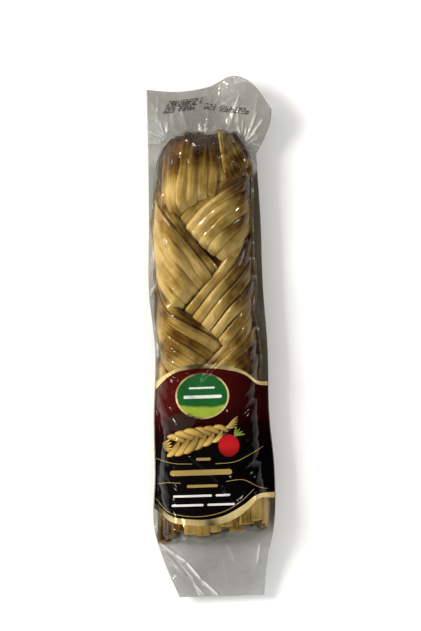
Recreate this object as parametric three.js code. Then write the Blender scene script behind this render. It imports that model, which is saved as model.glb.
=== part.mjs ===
// A vacuum pack of smoked braided string cheese, lying on its back.
//
// Three strands, each a flat ribbon of cheese strings, are plaited and shrink-wrapped in a
// clear pouch. The pouch is taut over the plait, so the pack's outer skin carries the relief
// of every string. Round the plait its two webs are sealed together: narrow fins down the
// sides, a wide header flap past the head and a tapering tail flap past the cut ends.
//
// Millimetres. X runs across the pack, Y along it with the head at +Y, Z up.
// The origin is at the middle of the bounding box's underside.

import * as THREE from 'three';

// Plait
const STRANDS = 3;
const STRINGS_PER_STRAND = 7;
const PLAIT_HALF_WIDTH = 25.4; // to the string centres at the side
const PLAIT_HALF_DEPTH = 13; // to the string centres on the faces
const STRAND_HALF_WIDTH = 16.5; // between the centres of its outer strings, halved
const STRAND_CROWN = 2.6; // its outer strings lie this much deeper than its middle ones
const STRING_HALF_WIDTH = 2.8;
const STRING_HALF_DEPTH = 2.6;
const CROSSINGS = [45, 18.5, -4, -20, -42, -60, -76]; // Y of each pass over the middle
const HEAD_TURNS = [[62, 136], [85, 40], [110, -30]]; // Y above those, winding angle in degrees
const HEAD_HOLD = [74, 97, 106]; // winding angle, in degrees, at which each strand runs straight
const TAIL_HOLD_Y = -92; // strings hang straight below this
const TAIL_TURN = 45; // degrees of winding from the last crossing to there
const DIVE_START = 0.84; // share of a pass after which the strand dives under the next one
const PLAIT_SHIFT_X = -1.5;
// The line of crossings wanders off the plait's own middle: Y, shift in X
const MIDDLE_SHIFT = [
  [-110, 0],
  [-30, 0],
  [-3, 1],
  [12, -2.5],
  [35, -4],
  [62, -3.5],
  [80, -1.5],
  [111, 0],
];

// Ends of the plait
const CAP_START_Y = 96;
const CAP_LENGTH = 15; // the head rounds off over this length
const HEAD_TAPER_START_Y = 66;
const HEAD_TAPER_LENGTH = 45;
const HEAD_TAPER = 0.2; // narrower at the top of the head, by this share
const CUT_Y = -108; // mean height of the cut ends
const CUT_SCATTER = 2.6;
const TAIL_SPREAD = 0.1; // wider at the cut ends, by this share
const CORE_HALF_WIDTH = 26; // the packed middle of the plait, under its outer strings
const CORE_HALF_DEPTH = 11;

// Pouch
const FILM_HALF_THICKNESS = 0.4; // of the two sealed webs
const REST_DEPTH = 14.4; // the underside is pressed flat this far below the seam
const HEADER_START_Y = 99;
const TAIL_START_Y = -112;
const TAIL_END_Y = -143;
const HEADER_FLARE = 9; // the right-hand edge leans out by this much
const HEADER_CURL = 13; // rise of the right-hand corner
const HEADER_DROOP = 4;
const TAIL_DROOP = 8;
const RIPPLE = 0.5;
const RIPPLE_PITCH = 17;

// Outline of the seal beside the plait and down the tail: Y, left X, right X
const SEAL_EDGE = [
  [99, -30.7, 28.9],
  [62, -31.4, 30.1],
  [25, -32.5, 30.2],
  [-8, -30, 31.6],
  [-46, -31.9, 31.4],
  [-74, -32.2, 33.2],
  [-107, -32.8, 31.5],
  [-123, -28.4, 27.7],
  [-143, -20.8, 25.4],
];
// Top edge of the header flap, from its left corner to its right one: share across, Y
const HEADER_EDGE = [
  [0, 137.3],
  [0.25, 135.6],
  [0.5, 137.8],
  [0.72, 143],
  [0.85, 138],
  [1, 122.8],
];

// Mesh
const TOP_COLUMNS = 32;
const COLUMNS_PER_BACK_COLUMN = 2;
const BODY_ROWS = 76;
const HEADER_ROWS = 8;
const TAIL_ROWS = 6;
const SAMPLE_STEP = 1;

const radians = THREE.MathUtils.degToRad;
const { clamp, lerp, smoothstep } = THREE.MathUtils;

// A smooth curve through [at, value, ...] rows, read at any place between them.
function readCurve(rows, at, column) {
  const ascending = rows[0][0] < rows[rows.length - 1][0];
  const sorted = ascending ? rows : [...rows].reverse();
  const last = sorted.length - 1;
  const place = clamp(at, sorted[0][0], sorted[last][0]);
  let i = 0;
  while (i < last - 1 && sorted[i + 1][0] < place) i += 1;
  const [a, b] = [sorted[i], sorted[i + 1]];
  const before = sorted[Math.max(i - 1, 0)];
  const after = sorted[Math.min(i + 2, last)];
  const span = b[0] - a[0];
  const slopeA = ((b[column] - before[column]) / (b[0] - before[0])) * span;
  const slopeB = ((after[column] - a[column]) / (after[0] - a[0])) * span;
  const t = (place - a[0]) / span;
  const t2 = t * t;
  const t3 = t2 * t;
  return (2 * t3 - 3 * t2 + 1) * a[column] + (t3 - 2 * t2 + t) * slopeA
    + (3 * t2 - 2 * t3) * b[column] + (t3 - t2) * slopeB;
}

// The winding angle of the plait at a height: half a turn at the first crossing, and a sixth
// of a turn more at each one after it.
const WINDING = [
  [TAIL_HOLD_Y, 180 + 60 * (CROSSINGS.length - 1) + TAIL_TURN],
  ...CROSSINGS.map((y, i) => [y, 180 + 60 * i]).reverse(),
  ...HEAD_TURNS,
];

function winding(strand, y) {
  const free = readCurve(WINDING, y, 1);
  const hold = HEAD_HOLD[strand];
  const softness = 8;
  const held = hold + softness * Math.log1p(Math.exp((free - hold) / softness));
  return held + (360 / STRANDS) * strand;
}

// The plait's cross-section is a stadium. A strand winds back to front round one side of it,
// dives through the middle and winds back to front round the other side.
const FLAT_HALF = PLAIT_HALF_WIDTH - PLAIT_HALF_DEPTH;
const QUARTER_ARC = (PLAIT_HALF_DEPTH * Math.PI) / 2;
const WRAP_HALF = FLAT_HALF + QUARTER_ARC; // along the skin, from side to middle

function onStadium(along, inset) {
  const reach = Math.abs(along);
  const side = Math.sign(along);
  const radius = PLAIT_HALF_DEPTH - inset;
  if (reach > QUARTER_ARC) {
    return [FLAT_HALF - (reach - QUARTER_ARC), side * radius];
  }
  const turn = reach / PLAIT_HALF_DEPTH;
  return [FLAT_HALF + radius * Math.cos(turn), side * radius * Math.sin(turn)];
}

// Narrows the head, rounds it off over its top and spreads the cut ends.
function shapeEnds(x, y, z) {
  const taper = clamp((y - HEAD_TAPER_START_Y) / HEAD_TAPER_LENGTH, 0, 1);
  const spread = clamp((TAIL_HOLD_Y + 30 - y) / 30, 0, 1);
  const cap = clamp((y - CAP_START_Y) / CAP_LENGTH, 0, 1);
  const round = Math.sqrt(1 - cap * cap);
  const across = (1 - HEAD_TAPER * taper * taper) * (1 + TAIL_SPREAD * spread);
  const placed = PLAIT_SHIFT_X * (1 - taper) + x * across * lerp(0.7, 1, round);
  const inward = 1 - Math.min(Math.abs(placed) / (PLAIT_HALF_WIDTH + STRING_HALF_WIDTH), 1) ** 2;
  return new THREE.Vector3(placed + readCurve(MIDDLE_SHIFT, y, 1) * inward, y, z * round);
}

// A point on one string's centre line. The string lies on the stadium's skin at its own
// distance from the strand's centre line, square to the way the strand runs there.
function stringPoint(strand, offset, y) {
  const angle = winding(strand, y);
  const turnAhead = winding(strand, y - SAMPLE_STEP) - angle;
  const pass = Math.floor(angle / 180);
  const side = pass % 2 === 0 ? 1 : -1;
  const progress = (angle - pass * 180) / 90 - 1; // -1 back middle, 0 side, 1 front middle
  const run = (turnAhead / 90) * WRAP_HALF;
  const length = Math.hypot(run, SAMPLE_STEP);
  const along = progress * WRAP_HALF - (offset * SAMPLE_STEP) / length;
  const inset = STRAND_CROWN * (offset / STRAND_HALF_WIDTH) ** 2;
  const [x, z] = onStadium(along, inset);
  const dive = 1 - smoothstep(Math.abs(progress), DIVE_START, 1);
  return shapeEnds(side * x, y - (offset * run) / length, z * dive);
}

function stringPoints() {
  const points = [];
  const top = CAP_START_Y + CAP_LENGTH;
  for (let strand = 0; strand < STRANDS; strand += 1) {
    for (let i = 0; i < STRINGS_PER_STRAND; i += 1) {
      const share = (2 * i) / (STRINGS_PER_STRAND - 1) - 1;
      const cut = CUT_Y + CUT_SCATTER * Math.sin(5 * i + 2 * strand);
      for (let y = top + STRAND_HALF_WIDTH; y > cut; y -= SAMPLE_STEP) {
        const point = stringPoint(strand, share * STRAND_HALF_WIDTH, y);
        if (point.y < top && point.y > cut) points.push(point);
      }
    }
  }
  return points;
}

// Height of a string's round back above its centre line, with the film's straight slope
// beyond it.
const FILM_LEAVES_AT = 0.87; // share of the string's half width at which film and string part
const FILM_LEAVES_HEIGHT = Math.sqrt(1 - FILM_LEAVES_AT ** 2);
const FILM_SLOPE = ((STRING_HALF_DEPTH / STRING_HALF_WIDTH) * FILM_LEAVES_AT) / FILM_LEAVES_HEIGHT;
const FILM_REACH = 14;

function stringProfile(distance) {
  const share = distance / STRING_HALF_WIDTH;
  if (share < FILM_LEAVES_AT) return STRING_HALF_DEPTH * Math.sqrt(1 - share * share);
  const beyond = distance - FILM_LEAVES_AT * STRING_HALF_WIDTH;
  return STRING_HALF_DEPTH * FILM_LEAVES_HEIGHT - FILM_SLOPE * beyond;
}

// Half depth of the packed middle of the plait.
function coreDepth(x, y) {
  const middle = (CAP_START_Y + CUT_Y) / 2;
  const reach = Math.abs(y - middle) / (CAP_START_Y - middle);
  const across = Math.abs(x - PLAIT_SHIFT_X) / CORE_HALF_WIDTH;
  const inside = 1 - across ** 4 - reach ** 20;
  return inside > 0 ? CORE_HALF_DEPTH * Math.sqrt(inside) : 0;
}

// How far the skin stands out from the seam over a place, up (face 1) or down (face -1).
function reliefAt(points, x, y, face) {
  let relief = coreDepth(x, y);
  for (const point of points) {
    const dx = point.x - x;
    const dy = point.y - y;
    if (Math.abs(dx) > FILM_REACH || Math.abs(dy) > FILM_REACH) continue;
    relief = Math.max(relief, face * point.z + stringProfile(Math.hypot(dx, dy)));
  }
  return relief;
}

// Place across and along the pouch for a grid place: across 0 to 1, along in rows.
function outlinePoint(across, row) {
  const bodyTop = TAIL_ROWS + BODY_ROWS;
  if (row <= bodyTop) {
    const y = row < TAIL_ROWS
      ? lerp(TAIL_END_Y, TAIL_START_Y, row / TAIL_ROWS)
      : lerp(TAIL_START_Y, HEADER_START_Y, (row - TAIL_ROWS) / BODY_ROWS);
    return [lerp(readCurve(SEAL_EDGE, y, 1), readCurve(SEAL_EDGE, y, 2), across), y];
  }
  const share = (row - bodyTop) / HEADER_ROWS;
  const [, left, right] = SEAL_EDGE[0];
  const flare = HEADER_FLARE * Math.sin((share * Math.PI) / 2) * across;
  const y = lerp(HEADER_START_Y, readCurve(HEADER_EDGE, across, 1), share);
  return [lerp(left, right, across) + flare, y];
}

// Height of the seal: level beside the plait, drooping at the tail, and curling up towards
// the header's right-hand corner.
function seamHeight(x, y) {
  const header = clamp((y - HEADER_START_Y) / (HEADER_EDGE[3][1] - HEADER_START_Y), 0, 1);
  const tail = clamp((y - TAIL_START_Y) / (TAIL_END_Y - TAIL_START_Y), 0, 1);
  const corner = clamp(x / (SEAL_EDGE[0][2] + HEADER_FLARE), 0, 1);
  const ripple = RIPPLE * Math.sin((2 * Math.PI * x) / RIPPLE_PITCH) * (header + tail);
  return HEADER_CURL * header * corner * corner - HEADER_DROOP * header
    - TAIL_DROOP * tail + ripple;
}

// The pouch as one closed skin: a fine upper web, a coarser lower one, and the thin edge of
// the seal between them.
function pouchGeometry() {
  const points = stringPoints();
  const rows = TAIL_ROWS + BODY_ROWS + HEADER_ROWS;
  const backColumns = TOP_COLUMNS / COLUMNS_PER_BACK_COLUMN;
  const positions = [];
  const index = [];

  function addWeb(columns, face) {
    const first = positions.length / 3;
    for (let row = 0; row <= rows; row += 1) {
      for (let column = 0; column <= columns; column += 1) {
        const [x, y] = outlinePoint(column / columns, row);
        const seam = seamHeight(x, y);
        const rim = row === 0 || row === rows || column === 0 || column === columns;
        const relief = rim ? 0 : reliefAt(points, x, y, face) - face * seam;
        const out = Math.max(relief, FILM_HALF_THICKNESS);
        positions.push(x, y, Math.max(seam + face * out, -REST_DEPTH));
      }
    }
    return (row, column) => first + row * (columns + 1) + column;
  }

  // Each cell is cut along the diagonal that follows the strings: the more level one.
  function addCells(web, columns, face) {
    const height = (vertex) => positions[3 * vertex + 2];
    for (let row = 0; row < rows; row += 1) {
      for (let column = 0; column < columns; column += 1) {
        const corners = [
          web(row, column),
          web(row, column + 1),
          web(row + 1, column + 1),
          web(row + 1, column),
        ];
        if (face < 0) corners.reverse();
        const [a, b, c, d] = corners;
        const rises = Math.abs(height(a) - height(c)) > Math.abs(height(b) - height(d));
        if (rises) index.push(a, b, d, b, c, d);
        else index.push(a, b, c, a, c, d);
      }
    }
  }

  const top = addWeb(TOP_COLUMNS, 1);
  const back = addWeb(backColumns, -1);
  addCells(top, TOP_COLUMNS, 1);
  addCells(back, backColumns, -1);
  for (let row = 0; row < rows; row += 1) {
    const [topLeft, topLeftNext] = [top(row, 0), top(row + 1, 0)];
    const [backLeft, backLeftNext] = [back(row, 0), back(row + 1, 0)];
    index.push(topLeft, topLeftNext, backLeftNext, topLeft, backLeftNext, backLeft);
    const [topRight, topRightNext] = [top(row, TOP_COLUMNS), top(row + 1, TOP_COLUMNS)];
    const [backRight, backRightNext] = [back(row, backColumns), back(row + 1, backColumns)];
    index.push(topRight, backRightNext, topRightNext, topRight, backRight, backRightNext);
  }
  // The tail's end edge and the header's top edge
  for (let column = 0; column < backColumns; column += 1) {
    const start = column * COLUMNS_PER_BACK_COLUMN;
    const tailPair = [back(0, column), back(0, column + 1)];
    const headPair = [back(rows, column), back(rows, column + 1)];
    for (let i = 0; i < COLUMNS_PER_BACK_COLUMN; i += 1) {
      index.push(tailPair[0], top(0, start + i + 1), top(0, start + i));
      index.push(headPair[0], top(rows, start + i), top(rows, start + i + 1));
    }
    const end = start + COLUMNS_PER_BACK_COLUMN;
    index.push(tailPair[0], tailPair[1], top(0, end));
    index.push(headPair[0], top(rows, end), headPair[1]);
  }

  const geometry = new THREE.BufferGeometry();
  geometry.setAttribute('position', new THREE.Float32BufferAttribute(positions, 3));
  geometry.setIndex(index);
  geometry.computeBoundingBox();
  const centre = geometry.boundingBox.getCenter(new THREE.Vector3());
  geometry.translate(-centre.x, -centre.y, REST_DEPTH);
  geometry.computeVertexNormals();
  return geometry;
}

const pack = new THREE.Group();
const smokedCheese = new THREE.MeshStandardMaterial({
  color: 0xa58350,
  roughness: 0.35,
  metalness: 0,
});
const pouch = new THREE.Mesh(pouchGeometry(), smokedCheese);
pouch.name = 'sealed_pouch';
pack.add(pouch);

export default pack;
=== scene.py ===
import math

import bpy
import numpy as np
from mathutils import Matrix, Vector
from mathutils.bvhtree import BVHTree


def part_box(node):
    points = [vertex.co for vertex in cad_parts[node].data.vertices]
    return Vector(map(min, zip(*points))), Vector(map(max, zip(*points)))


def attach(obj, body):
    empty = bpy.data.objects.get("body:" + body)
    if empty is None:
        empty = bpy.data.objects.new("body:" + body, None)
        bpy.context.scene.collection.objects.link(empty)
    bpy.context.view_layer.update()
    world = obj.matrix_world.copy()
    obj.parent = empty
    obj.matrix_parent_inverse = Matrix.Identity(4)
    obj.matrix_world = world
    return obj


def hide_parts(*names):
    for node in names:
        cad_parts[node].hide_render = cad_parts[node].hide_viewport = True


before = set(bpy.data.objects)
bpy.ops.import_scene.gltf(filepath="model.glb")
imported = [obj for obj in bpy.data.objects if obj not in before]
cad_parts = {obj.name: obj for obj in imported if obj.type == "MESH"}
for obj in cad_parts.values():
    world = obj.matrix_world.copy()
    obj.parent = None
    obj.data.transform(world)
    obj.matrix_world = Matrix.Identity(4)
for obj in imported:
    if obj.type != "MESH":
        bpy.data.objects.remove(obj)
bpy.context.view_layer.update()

# A vacuum pack of smoked, plaited string cheese lying on its back.
# Lengths are in millimetres, measured from the middle of the plait at the height of the pouch's seam,
# until place() turns them into the frame's metres.

packLow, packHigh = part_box("sealed_pouch")


def smoothStep(value, low, high):
    t = np.clip((value - low) / (high - low), 0, 1)
    return t * t * (3 - 2 * t)


def mix(a, b, share):
    return a + (b - a) * share


def readCurve(rows, at):
    # a smooth line through (place, value) rows, read at an array of places
    rows = np.array(sorted(rows), dtype=float)
    xs, ys = rows[:, 0], rows[:, 1]
    slopes = np.gradient(ys, xs)
    at = np.clip(at, xs[0], xs[-1])
    i = np.clip(np.searchsorted(xs, at, side="right") - 1, 0, len(xs) - 2)
    span = xs[i + 1] - xs[i]
    t = (at - xs[i]) / span
    t2, t3 = t * t, t * t * t
    return ((2 * t3 - 3 * t2 + 1) * ys[i] + (t3 - 2 * t2 + t) * span * slopes[i]
            + (3 * t2 - 2 * t3) * ys[i + 1] + (t3 - t2) * span * slopes[i + 1])


def waves(at, pitch, seed, count=4):
    # smooth wandering between about -1 and 1 along a line
    own = np.random.default_rng(seed)
    total = np.zeros_like(at, dtype=float)
    for k in range(count):
        total += np.sin(2 * np.pi * at / (pitch * own.uniform(0.6, 1.7)) + own.uniform(0, 6.3))
    return total / count ** 0.5 / 1.2


def cloudNoise(x, y, size, seed):
    # soft random hills, 0 to 1, size millimetres apart
    hills = np.random.default_rng(seed).random((128, 128))
    u, v = np.asarray(x) / size + 500, np.asarray(y) / size + 500
    i, j = np.floor(u).astype(int), np.floor(v).astype(int)
    a, b = smoothStep(u - i, 0, 1), smoothStep(v - j, 0, 1)
    i0, i1, j0, j1 = i % 128, (i + 1) % 128, j % 128, (j + 1) % 128
    return mix(mix(hills[j0, i0], hills[j0, i1], a), mix(hills[j1, i0], hills[j1, i1], a), b)


pouch = dict(
    # the sides as rows of (y, x), and the header's curved top as rows of (share across, y)
    headerStart=99, tailStart=-112, tailEnd=-143,
    left=[(99, -30.7), (62, -31.4), (25, -32.5), (-8, -30), (-46, -31.9), (-74, -32.2), (-107, -32.8),
          (-123, -28.4), (-143, -20.8)],
    right=[(99, 28.9), (62, 30.1), (25, 30.2), (-8, 31.6), (-46, 31.4), (-74, 33.2), (-107, 31.5),
           (-123, 27.7), (-143, 25.4)],
    headerTop=[(0, 137.3), (0.25, 135.6), (0.5, 137.8), (0.72, 143), (0.85, 138), (1, 122.8)],
    headerFlare=9, headerCurl=13, headerDroop=4, tailDroop=8,
    headerLong=43.6, tailLong=31, cornerWide=38,
    rest=14.4,  # the seam's height above the floor
    seal=0.35,  # half the thickness of the two webs where they are welded
)


def outline(across, along):
    # across 0..1 from left to right, along -1..0 tail, 0..1 body, 1..2 header
    across, along = np.broadcast_arrays(np.asarray(across, float), np.asarray(along, float))
    body = np.clip(along, 0, 1)
    y = mix(pouch["tailStart"], pouch["headerStart"], body)
    y = np.where(along < 0, mix(pouch["tailStart"], pouch["tailEnd"], -along), y)
    x = mix(readCurve(pouch["left"], y), readCurve(pouch["right"], y), across)
    header = np.clip(along - 1, 0, 1)
    x = x + pouch["headerFlare"] * np.sin(header * np.pi / 2) * across
    y = np.where(along > 1, mix(pouch["headerStart"], readCurve(pouch["headerTop"], across), header), y)
    return x, y


def seamHeight(x, y):
    # the seam is level round the plait, and the flaps leave it at both ends
    header = np.clip((y - pouch["headerStart"]) / pouch["headerLong"], 0, 1)
    tail = np.clip((pouch["tailStart"] - y) / pouch["tailLong"], 0, 1)
    corner = np.clip(x / pouch["cornerWide"], 0, 1)
    return (pouch["headerCurl"] * header * corner ** 2 - pouch["headerDroop"] * header
            - pouch["tailDroop"] * tail)


# how far the outline moves to stand in the middle of the frame's box
edgeX, edgeY = outline(np.linspace(0, 1, 60)[None, :], np.linspace(-1, 2, 400)[:, None])
shiftX = (packLow[0] + packHigh[0]) * 500 - (edgeX.min() + edgeX.max()) / 2
shiftY = (packLow[1] + packHigh[1]) * 500 - (edgeY.min() + edgeY.max()) / 2


def place(points):
    moved = np.array(points, dtype=float) + (shiftX, shiftY, pouch["rest"])
    return moved * 0.001


def addMesh(name, points, faces, material, smooth=True, uvs=None, marks=None):
    # one riding piece from plain arrays; marks are named numbers kept on its points
    mesh = bpy.data.meshes.new(name)
    mesh.from_pydata(place(points).tolist(), [], [tuple(f) for f in faces])
    mesh.polygons.foreach_set("use_smooth", [smooth] * len(mesh.polygons))
    if uvs is not None:
        layer = mesh.uv_layers.new(name="lie")
        corner = np.empty(len(mesh.loops), dtype=np.int32)
        mesh.loops.foreach_get("vertex_index", corner)
        layer.data.foreach_set("uv", np.asarray(uvs, dtype=np.float32)[corner].ravel())
    for key, values in (marks or {}).items():
        mesh.attributes.new(key, "FLOAT", "POINT").data.foreach_set("value", np.asarray(values, np.float32))
    mesh.materials.append(material)
    mesh.update()
    piece = bpy.data.objects.new(name, mesh)
    bpy.context.collection.objects.link(piece)
    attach(piece, "root")
    return piece


def gridFaces(web):
    # quads between the rows and columns of a grid of point numbers
    return np.stack([web[:-1, :-1], web[:-1, 1:], web[1:, 1:], web[1:, :-1]], -1).reshape(-1, 4)


def tubeFaces(rings):
    # quads round a tube of rings of point numbers, with a cap at each end
    turned = np.roll(rings, -1, 1)
    quads = np.stack([rings[:-1], turned[:-1], turned[1:], rings[1:]], -1).reshape(-1, 4).tolist()
    return quads + [rings[0][::-1].tolist(), rings[-1].tolist()]


def newGroup(name, inputs, outputs):
    # an empty shader group with named sockets
    tree = bpy.data.node_groups.new(name, "ShaderNodeTree")
    for label, kind, value in inputs:
        socket = tree.interface.new_socket(label, in_out="INPUT", socket_type=kind)
        if value is not None:
            socket.default_value = value
    for label, kind in outputs:
        tree.interface.new_socket(label, in_out="OUTPUT", socket_type=kind)
    return tree, tree.nodes.new("NodeGroupInput"), tree.nodes.new("NodeGroupOutput")


def addNode(tree, kind, links=None, **settings):
    node = tree.nodes.new(kind)
    for key, value in settings.items():
        setattr(node, key, value)
    for socket, value in (links or {}).items():
        target = node.inputs[socket]
        if isinstance(value, bpy.types.NodeSocket):
            tree.links.new(value, target)
        else:
            target.default_value = value
    return node


def addMath(tree, operation, a, b=0.0, clamp=False):
    return addNode(tree, "ShaderNodeMath", {0: a, 1: b}, operation=operation, use_clamp=clamp).outputs[0]


def addRange(tree, value, low=0.0, high=1.0, first=0.0, last=1.0):
    # low to high becomes first to last
    return addNode(tree, "ShaderNodeMapRange", {"Value": value, "From Min": low, "From Max": high,
                                                "To Min": first, "To Max": last}).outputs[0]


def readMark(tree, name):
    return addNode(tree, "ShaderNodeAttribute", attribute_name=name).outputs["Fac"]


def addRamp(tree, value, stops):
    node = addNode(tree, "ShaderNodeValToRGB", {"Fac": value})
    ramp = node.color_ramp
    while len(ramp.elements) < len(stops):
        ramp.elements.new(1.0)
    for element, (at, colour) in zip(ramp.elements, stops):
        element.position = at
        element.color = (*colour, 1) if len(colour) == 3 else colour
    return node.outputs["Color"]


def addMixColor(tree, share, a, b, blend="MIX"):
    node = tree.nodes.new("ShaderNodeMix")
    node.data_type = "RGBA"
    node.blend_type = blend
    for socket, value in ((node.inputs[0], share), (node.inputs[6], a), (node.inputs[7], b)):
        if isinstance(value, bpy.types.NodeSocket):
            tree.links.new(value, socket)
        else:
            socket.default_value = value
    return node.outputs[2]


def crinkleGroup():
    # fine creasing of thin film: a bump height and a cloudy mask
    tree, given, out = newGroup(
        "Film crinkle",
        [("Scale", "NodeSocketFloat", 60.0), ("Stretch", "NodeSocketFloat", 1.0)],
        [("Height", "NodeSocketFloat"), ("Cloud", "NodeSocketFloat")])
    where = addNode(tree, "ShaderNodeTexCoord").outputs["Object"]
    stretch = addNode(tree, "ShaderNodeCombineXYZ", {"X": 1.0, "Y": given.outputs["Stretch"], "Z": 1.0})
    lie = addNode(tree, "ShaderNodeVectorMath", {0: where, 1: stretch.outputs[0]}, operation="MULTIPLY")
    wander = addNode(tree, "ShaderNodeTexNoise", {"Vector": lie.outputs[0], "Scale": 90.0, "Detail": 2.0})
    pushed = addNode(tree, "ShaderNodeVectorMath", {0: wander.outputs["Color"], 1: (0.012, 0.012, 0.012)},
                     operation="MULTIPLY")
    bent = addNode(tree, "ShaderNodeVectorMath", {0: lie.outputs[0], 1: pushed.outputs[0]})
    cells = addNode(tree, "ShaderNodeTexVoronoi",
                    {"Vector": bent.outputs[0], "Scale": given.outputs["Scale"]}, feature="DISTANCE_TO_EDGE")
    ridge = addRange(tree, cells.outputs["Distance"], high=0.12, first=1.0, last=0.0)
    cloud = addNode(tree, "ShaderNodeTexNoise", {"Vector": where, "Scale": 45.0, "Detail": 3.0})
    height = addMath(tree, "MULTIPLY", ridge, cloud.outputs["Fac"])
    tree.links.new(height, out.inputs["Height"])
    tree.links.new(cloud.outputs["Fac"], out.inputs["Cloud"])
    return tree


def fibreGroup():
    # pulled fibres that run along a string: streaks, tar specks and a bump height
    tree, given, out = newGroup(
        "Pulled fibres",
        [("Across", "NodeSocketFloat", 14.0), ("Along", "NodeSocketFloat", 0.5)],
        [("Streak", "NodeSocketFloat"), ("Blotch", "NodeSocketFloat"), ("Speck", "NodeSocketFloat"),
         ("Height", "NodeSocketFloat")])
    lie = addNode(tree, "ShaderNodeUVMap", uv_map="lie").outputs[0]
    size = addNode(tree, "ShaderNodeCombineXYZ",
                   {"X": given.outputs["Along"], "Y": given.outputs["Across"], "Z": 1.0}).outputs[0]
    run = addNode(tree, "ShaderNodeVectorMath", {0: lie, 1: size}, operation="MULTIPLY").outputs[0]
    streak = addNode(tree, "ShaderNodeTexNoise", {"Vector": run, "Scale": 1.0, "Detail": 4.0,
                                                  "Roughness": 0.6}).outputs["Fac"]
    where = addNode(tree, "ShaderNodeTexCoord").outputs["Object"]
    blotch = addNode(tree, "ShaderNodeTexNoise", {"Vector": where, "Scale": 75.0, "Detail": 4.0,
                                                  "Roughness": 0.55}).outputs["Fac"]
    dots = addNode(tree, "ShaderNodeTexVoronoi", {"Vector": where, "Scale": 150.0}).outputs["Distance"]
    rare = addNode(tree, "ShaderNodeTexNoise", {"Vector": where, "Scale": 130.0}).outputs["Fac"]
    near = addRange(tree, dots, 0.1, 0.2, 1.0, 0.0)
    kept = addRange(tree, rare, 0.6, 0.66)
    tree.links.new(streak, out.inputs["Streak"])
    tree.links.new(blotch, out.inputs["Blotch"])
    tree.links.new(addMath(tree, "MULTIPLY", near, kept), out.inputs["Speck"])
    tree.links.new(addMath(tree, "ADD", streak, addMath(tree, "MULTIPLY", blotch, 0.5)), out.inputs["Height"])
    return tree


crinkle = crinkleGroup()
fibres = fibreGroup()


def startMaterial(name):
    material = bpy.data.materials.new(name)
    material.use_nodes = True
    tree = material.node_tree
    tree.nodes.clear()
    return material, tree, addNode(tree, "ShaderNodeOutputMaterial")


def addGroup(tree, group, **values):
    node = addNode(tree, "ShaderNodeGroup", node_tree=group)
    for key, value in values.items():
        node.inputs[key].default_value = value
    return node


plait = dict(
    strands=3, strings=7,
    halfWidth=25.4, halfDepth=13.0,  # to the middles of the outermost strings
    strandHalf=16.5, crown=2.6,
    stringHalf=3.15, stringDepth=2.25,
    crossings=[45, 18.5, -4, -20, -42, -60, -76],  # where a strand passes the middle
    headTurns=[(62, 136), (85, 40), (110, -30)], headHold=[74, 97, 106],
    tailHold=-92, tailTurn=45, diveStart=0.84,
    shiftX=-1.1, middleFade=28,
    middleShift=[(111, 0), (80, -1.5), (62, -3.5), (35, -4), (12, -2.5), (-3, 1), (-30, 0), (-110, 0)],
    capStart=96, capLength=15, nod=(-4, 0.5), taperStart=66, taperLength=45, taper=0.2,
    cut=-107.5, cutScatter=2.0, cutSlope=0.11, spread=0.1, tailFat=0.35,
    under=-14.1,  # pressed flat underneath, where the pouch lies on it
)
flatHalf = plait["halfWidth"] - plait["halfDepth"]
quarterArc = plait["halfDepth"] * math.pi / 2
wrapHalf = flatHalf + quarterArc

# a strand gains 60 degrees from one crossing to the next
windingRows = plait["headTurns"] + [(y, 180 + 60 * i) for i, y in enumerate(plait["crossings"])]
windingRows.append((plait["tailHold"], 120 + 60 * len(plait["crossings"]) + plait["tailTurn"]))


def winding(strand, y):
    # how many degrees a strand has gone round the plait at y; it starts to turn only below its hold
    free = readCurve(windingRows, y)
    hold = plait["headHold"][strand]
    return hold + 8 * np.log1p(np.exp((free - hold) / 8)) + 120 * strand


def stringLine(strand, offset, y, lift=0.0, nod=0.0):
    # centre line and skin direction of one string, on the plait's stadium-shaped section
    angle = winding(strand, y)
    turn = winding(strand, y - 1) - angle
    lobe = np.floor(angle / 180)
    side = np.where(lobe % 2 == 0, 1.0, -1.0)
    progress = (angle - lobe * 180) / 90 - 1
    run = turn / 90 * wrapHalf
    length = np.hypot(run, 1)
    along = progress * wrapHalf - offset / length
    radius = plait["halfDepth"] - plait["crown"] * (offset / plait["strandHalf"]) ** 2 + lift
    reach = np.abs(along)
    bend = np.minimum(reach, quarterArc) / plait["halfDepth"]
    x = flatHalf + radius * np.cos(bend) - np.maximum(reach - quarterArc, 0)
    x = np.where(reach > quarterArc, flatHalf - (reach - quarterArc), x)
    z = np.sign(along) * radius * np.sin(bend)
    dive = 1 - smoothStep(np.abs(progress), plait["diveStart"], 1.0)
    outX, outZ = side * np.cos(bend), np.sign(along) * np.sin(bend)
    atY = y - offset * run / length
    taper = np.clip((atY - plait["taperStart"]) / plait["taperLength"], 0, 1)
    spread = np.clip((plait["tailHold"] + 30 - atY) / 30, 0, 1)
    cap = np.clip((atY - plait["capStart"] - nod) / plait["capLength"], 0, 1)
    rounding = np.sqrt(np.maximum(1 - cap * cap, 0))
    wide = (1 - plait["taper"] * taper ** 2) * (1 + plait["spread"] * spread)
    atX = plait["shiftX"] * (1 - taper) + side * x * wide * mix(0.7, 1, rounding)
    inner = 1 - np.clip(np.abs(atX) / plait["middleFade"], 0, 1) ** 2
    atX = atX + readCurve(plait["middleShift"], atY) * inner
    points = np.stack([atX, atY, z * dive * rounding], -1)
    skin = np.stack([outX * side, np.zeros_like(outX), outZ * side], -1) * side[:, None]
    return points, skin


def smoothRows(rows, width):
    pad = np.pad(rows, ((width, width), (0, 0)), mode="edge")
    kernel = np.hanning(2 * width + 3)[1:-1]
    kernel /= kernel.sum()
    return np.stack([np.convolve(pad[:, k], kernel, "valid") for k in range(rows.shape[1])], -1)


def normalised(rows):
    return rows / np.maximum(np.linalg.norm(rows, axis=-1, keepdims=True), 1e-9)


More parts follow.
